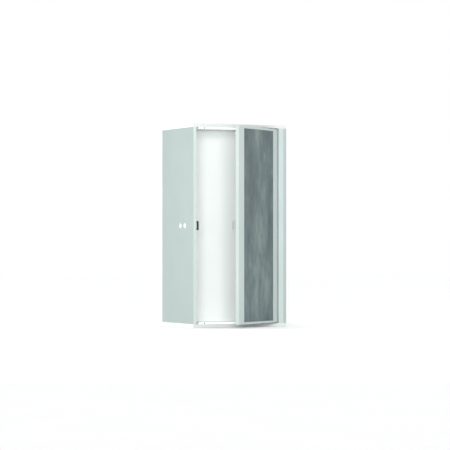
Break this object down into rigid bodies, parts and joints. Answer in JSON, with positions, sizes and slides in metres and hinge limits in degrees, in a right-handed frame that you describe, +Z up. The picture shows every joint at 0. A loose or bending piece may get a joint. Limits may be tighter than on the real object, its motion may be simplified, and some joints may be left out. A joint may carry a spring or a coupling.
{
  "type": "locker cabinet",
  "caption": "Tall single-door locker cabinet with white interior, framed slate-look door on pivot hinges and a side-mounted bolt latch.",
  "frame": {"origin": "centre of the carcass footprint, on the underside of the bottom panel", "axes": "+Z up, +Y towards the back board, +X towards the hinge side"},
  "size_m": [0.504, 0.6937, 1],
  "materials": {
    "inner_board": "satin white melamine",
    "outer_board": "satin pale grey melamine",
    "door_board": "satin pale grey melamine",
    "slate_laminate": "mottled slate-look laminate, satin",
    "zinc_steel": "zinc plated",
    "dark_steel": "dark powder coat",
    "latch_plastic": "fine moulded grain",
    "bush_nylon": "moulded nylon",
    "white_cap": "gloss white enamel",
    "buffer_rubber": "matt"
  },
  "bodies": {
    "carcass": {"left_side": "outer_board", "right_side": "outer_board", "top_panel": "inner_board", "bottom_panel": "inner_board", "back_panel": "inner_board", "right_stile": "door_board", "top_stop_rail": "inner_board", "bottom_stop_rail": "inner_board", "top_bush": "bush_nylon", "bottom_bush": "bush_nylon", "carcass_screws": "zinc_steel", "back_screws": "zinc_steel", "door_bumpers": "buffer_rubber", "latch_housing": "latch_plastic", "latch_faceplate": "zinc_steel", "through_bolts": "white_cap"},
    "door": {"door_leaf": "door_board", "slate_panel": "slate_laminate", "top_pivot": "dark_steel", "bottom_pivot": "dark_steel", "pivot_screws": "zinc_steel", "door_strike": "zinc_steel", "strike_screws": "zinc_steel"},
    "latch_bolt": {"latch_bolt": "zinc_steel"}
  },
  "joints": [
    {"name": "door_hinge", "type": "hinge", "parent": "carcass", "child": "door", "pos_m": [0.197, -0.201, 0.5], "axis": [0, 0, 1], "range_deg": [-40, 55]},
    {"name": "latch_slide", "type": "slide", "parent": "carcass", "child": "latch_bolt", "axis": [1, 0, 0], "range_m": [0, 0.011]}
  ]
}
